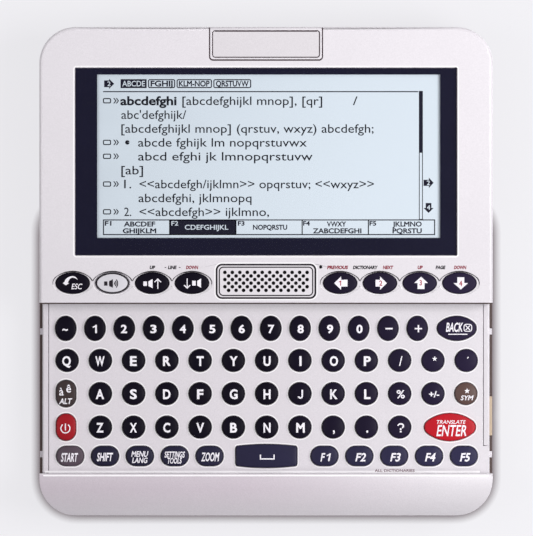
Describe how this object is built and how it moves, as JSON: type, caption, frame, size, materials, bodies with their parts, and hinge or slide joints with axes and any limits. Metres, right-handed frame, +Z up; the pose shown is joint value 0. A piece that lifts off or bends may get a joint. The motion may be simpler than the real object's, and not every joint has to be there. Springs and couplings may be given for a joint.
{
  "type": "handheld translator",
  "caption": "Slide-open handheld translator: silver screen half with display and oval function keys, sliding on rails over a keyboard base with raised front chin.",
  "frame": {"origin": "under the middle of the open device, on the surface that its feet stand on", "axes": "+X to the user's right, +Y from the front chin to the top of the screen half, +Z up out of the screen"},
  "size_m": [0.127, 0.1368, 0.0201],
  "materials": {
    "dark_case": "fine grained, satin",
    "silver_shell": "satin silver lacquer over a moulded shell",
    "rail_plastic": "smooth, satin",
    "badge_metal": "brushed, bare",
    "circuit_board": "solder resist, satin",
    "chip_black": "moulded epoxy, dull",
    "key_rubber": "moulded silicone",
    "cell_wrap": "printed wrap, glossy",
    "spring_steel": "nickel plated",
    "socket_black": "moulded",
    "tan_trim": "moulded, satin",
    "screw_steel": "zinc plated",
    "foot_rubber": "moulded",
    "flex_film": "polyimide film",
    "channel_steel": "folded sheet, dull",
    "white_frame": "moulded",
    "display_glass": "polariser over the display's glass",
    "window_tint": "clear window, its border printed dark on the inside",
    "speaker_black": "moulded frame",
    "microphone_metal": "can, dull",
    "key_dark": "moulded, satin, domed",
    "key_red": "moulded, satin, domed",
    "key_brown": "moulded, satin, domed",
    "key_silver": "satin silver lacquer"
  },
  "bodies": {
    "base": {"lower_case": "dark_case", "upper_case": "silver_shell", "left_rail": "rail_plastic", "right_rail": "rail_plastic", "keyboard_board": "circuit_board", "board_chips": "chip_black", "keyboard_mat": "key_rubber", "battery_cells": "cell_wrap", "battery_contacts": "spring_steel", "jack_socket": "socket_black", "jack_bezel": "tan_trim", "case_screws": "screw_steel", "rubber_feet": "foot_rubber"},
    "screen": {"ribbon_cable": "flex_film", "screen_rear_cover": "dark_case", "screen_front_cover": "silver_shell", "slide_channel": "channel_steel", "screen_screws": "screw_steel", "screen_board": "circuit_board", "function_key_mat": "key_rubber", "display_frame": "white_frame", "display_panel": "display_glass", "display_window": "window_tint", "speaker_driver": "speaker_black", "speaker_grille": "silver_shell", "microphone": "microphone_metal", "badge_plate": "badge_metal"},
    "battery_cover": {"battery_door": "dark_case"},
    "number_keys_left_body": {"number_keys_left": "key_dark"},
    "number_keys_right_body": {"number_keys_right": "key_dark"},
    "letter_keys_left_body": {"letter_keys_left": "key_dark"},
    "letter_keys_right_body": {"letter_keys_right": "key_dark"},
    "home_keys_left_body": {"home_keys_left": "key_dark"},
    "home_keys_right_body": {"home_keys_right": "key_dark"},
    "low_keys_left_body": {"low_keys_left": "key_dark"},
    "low_keys_right_body": {"low_keys_right": "key_dark"},
    "back_key_body": {"back_key": "key_dark"},
    "alt_key_body": {"alt_key": "key_brown"},
    "symbol_key_body": {"symbol_key": "key_brown"},
    "power_key_body": {"power_key": "key_red"},
    "enter_key_body": {"enter_key": "key_red"},
    "start_key_body": {"start_key": "key_brown"},
    "shift_key_body": {"shift_key": "key_dark"},
    "menu_key_body": {"menu_key": "key_dark"},
    "settings_key_body": {"settings_key": "key_dark"},
    "zoom_key_body": {"zoom_key": "key_dark"},
    "space_key_body": {"space_key": "key_dark"},
    "f1_key_body": {"f1_key": "key_dark"},
    "f2_key_body": {"f2_key": "key_dark"},
    "f3_key_body": {"f3_key": "key_dark"},
    "f4_key_body": {"f4_key": "key_dark"},
    "f5_key_body": {"f5_key": "key_dark"},
    "escape_key_body": {"escape_key": "key_dark"},
    "speak_key_body": {"speak_key": "key_silver"},
    "volume_up_key_body": {"volume_up_key": "key_dark"},
    "volume_down_key_body": {"volume_down_key": "key_dark"},
    "previous_key_body": {"previous_key": "key_dark"},
    "next_key_body": {"next_key": "key_dark"},
    "page_up_key_body": {"page_up_key": "key_dark"},
    "page_down_key_body": {"page_down_key": "key_dark"}
  },
  "joints": [
    {"name": "screen_slide", "type": "slide", "parent": "base", "child": "screen", "axis": [0, 1, 0], "range_m": [-0.0472, 0], "deforming": ["ribbon_cable"]},
    {"name": "battery_door_slide", "type": "slide", "parent": "base", "child": "battery_cover", "axis": [0, -1, 0], "range_m": [0, 0.014]},
    {"name": "number_keys_left_press", "type": "slide", "parent": "base", "child": "number_keys_left_body", "axis": [0, 0, -1], "range_m": [0, 0.0007], "stiffness_N_per_m": 1200, "deforming": ["keyboard_mat"]},
    {"name": "number_keys_right_press", "type": "slide", "parent": "base", "child": "number_keys_right_body", "axis": [0, 0, -1], "range_m": [0, 0.0007], "stiffness_N_per_m": 1200, "deforming": ["keyboard_mat"]},
    {"name": "letter_keys_left_press", "type": "slide", "parent": "base", "child": "letter_keys_left_body", "axis": [0, 0, -1], "range_m": [0, 0.0007], "stiffness_N_per_m": 1200, "deforming": ["keyboard_mat"]},
    {"name": "letter_keys_right_press", "type": "slide", "parent": "base", "child": "letter_keys_right_body", "axis": [0, 0, -1], "range_m": [0, 0.0007], "stiffness_N_per_m": 1200, "deforming": ["keyboard_mat"]},
    {"name": "home_keys_left_press", "type": "slide", "parent": "base", "child": "home_keys_left_body", "axis": [0, 0, -1], "range_m": [0, 0.0007], "stiffness_N_per_m": 1200, "deforming": ["keyboard_mat"]},
    {"name": "home_keys_right_press", "type": "slide", "parent": "base", "child": "home_keys_right_body", "axis": [0, 0, -1], "range_m": [0, 0.0007], "stiffness_N_per_m": 1200, "deforming": ["keyboard_mat"]},
    {"name": "low_keys_left_press", "type": "slide", "parent": "base", "child": "low_keys_left_body", "axis": [0, 0, -1], "range_m": [0, 0.0007], "stiffness_N_per_m": 1200, "deforming": ["keyboard_mat"]},
    {"name": "low_keys_right_press", "type": "slide", "parent": "base", "child": "low_keys_right_body", "axis": [0, 0, -1], "range_m": [0, 0.0007], "stiffness_N_per_m": 1200, "deforming": ["keyboard_mat"]},
    {"name": "back_key_press", "type": "slide", "parent": "base", "child": "back_key_body", "axis": [0, 0, -1], "range_m": [0, 0.0007], "stiffness_N_per_m": 800, "deforming": ["keyboard_mat"]},
    {"name": "alt_key_press", "type": "slide", "parent": "base", "child": "alt_key_body", "axis": [0, 0, -1], "range_m": [0, 0.0007], "stiffness_N_per_m": 800, "deforming": ["keyboard_mat"]},
    {"name": "symbol_key_press", "type": "slide", "parent": "base", "child": "symbol_key_body", "axis": [0, 0, -1], "range_m": [0, 0.0007], "stiffness_N_per_m": 800, "deforming": ["keyboard_mat"]},
    {"name": "power_key_press", "type": "slide", "parent": "base", "child": "power_key_body", "axis": [0, 0, -1], "range_m": [0, 0.0007], "stiffness_N_per_m": 800, "deforming": ["keyboard_mat"]},
    {"name": "enter_key_press", "type": "slide", "parent": "base", "child": "enter_key_body", "axis": [0, 0, -1], "range_m": [0, 0.0007], "stiffness_N_per_m": 800, "deforming": ["keyboard_mat"]},
    {"name": "start_key_press", "type": "slide", "parent": "base", "child": "start_key_body", "axis": [0, 0, -1], "range_m": [0, 0.0007], "stiffness_N_per_m": 800, "deforming": ["keyboard_mat"]},
    {"name": "shift_key_press", "type": "slide", "parent": "base", "child": "shift_key_body", "axis": [0, 0, -1], "range_m": [0, 0.0007], "stiffness_N_per_m": 800, "deforming": ["keyboard_mat"]},
    {"name": "menu_key_press", "type": "slide", "parent": "base", "child": "menu_key_body", "axis": [0, 0, -1], "range_m": [0, 0.0007], "stiffness_N_per_m": 800, "deforming": ["keyboard_mat"]},
    {"name": "settings_key_press", "type": "slide", "parent": "base", "child": "settings_key_body", "axis": [0, 0, -1], "range_m": [0, 0.0007], "stiffness_N_per_m": 800, "deforming": ["keyboard_mat"]},
    {"name": "zoom_key_press", "type": "slide", "parent": "base", "child": "zoom_key_body", "axis": [0, 0, -1], "range_m": [0, 0.0007], "stiffness_N_per_m": 800, "deforming": ["keyboard_mat"]},
    {"name": "space_key_press", "type": "slide", "parent": "base", "child": "space_key_body", "axis": [0, 0, -1], "range_m": [0, 0.0007], "stiffness_N_per_m": 800, "deforming": ["keyboard_mat"]},
    {"name": "f1_key_press", "type": "slide", "parent": "base", "child": "f1_key_body", "axis": [0, 0, -1], "range_m": [0, 0.0007], "stiffness_N_per_m": 800, "deforming": ["keyboard_mat"]},
    {"name": "f2_key_press", "type": "slide", "parent": "base", "child": "f2_key_body", "axis": [0, 0, -1], "range_m": [0, 0.0007], "stiffness_N_per_m": 800, "deforming": ["keyboard_mat"]},
    {"name": "f3_key_press", "type": "slide", "parent": "base", "child": "f3_key_body", "axis": [0, 0, -1], "range_m": [0, 0.0007], "stiffness_N_per_m": 800, "deforming": ["keyboard_mat"]},
    {"name": "f4_key_press", "type": "slide", "parent": "base", "child": "f4_key_body", "axis": [0, 0, -1], "range_m": [0, 0.0007], "stiffness_N_per_m": 800, "deforming": ["keyboard_mat"]},
    {"name": "f5_key_press", "type": "slide", "parent": "base", "child": "f5_key_body", "axis": [0, 0, -1], "range_m": [0, 0.0007], "stiffness_N_per_m": 800, "deforming": ["keyboard_mat"]},
    {"name": "escape_key_press", "type": "slide", "parent": "screen", "child": "escape_key_body", "axis": [0, 0, -1], "range_m": [0, 0.0007], "stiffness_N_per_m": 800, "deforming": ["function_key_mat"]},
    {"name": "speak_key_press", "type": "slide", "parent": "screen", "child": "speak_key_body", "axis": [0, 0, -1], "range_m": [0, 0.0007], "stiffness_N_per_m": 800, "deforming": ["function_key_mat"]},
    {"name": "volume_up_key_press", "type": "slide", "parent": "screen", "child": "volume_up_key_body", "axis": [0, 0, -1], "range_m": [0, 0.0007], "stiffness_N_per_m": 800, "deforming": ["function_key_mat"]},
    {"name": "volume_down_key_press", "type": "slide", "parent": "screen", "child": "volume_down_key_body", "axis": [0, 0, -1], "range_m": [0, 0.0007], "stiffness_N_per_m": 800, "deforming": ["function_key_mat"]},
    {"name": "previous_key_press", "type": "slide", "parent": "screen", "child": "previous_key_body", "axis": [0, 0, -1], "range_m": [0, 0.0007], "stiffness_N_per_m": 800, "deforming": ["function_key_mat"]},
    {"name": "next_key_press", "type": "slide", "parent": "screen", "child": "next_key_body", "axis": [0, 0, -1], "range_m": [0, 0.0007], "stiffness_N_per_m": 800, "deforming": ["function_key_mat"]},
    {"name": "page_up_key_press", "type": "slide", "parent": "screen", "child": "page_up_key_body", "axis": [0, 0, -1], "range_m": [0, 0.0007], "stiffness_N_per_m": 800, "deforming": ["function_key_mat"]},
    {"name": "page_down_key_press", "type": "slide", "parent": "screen", "child": "page_down_key_body", "axis": [0, 0, -1], "range_m": [0, 0.0007], "stiffness_N_per_m": 800, "deforming": ["function_key_mat"]}
  ]
}
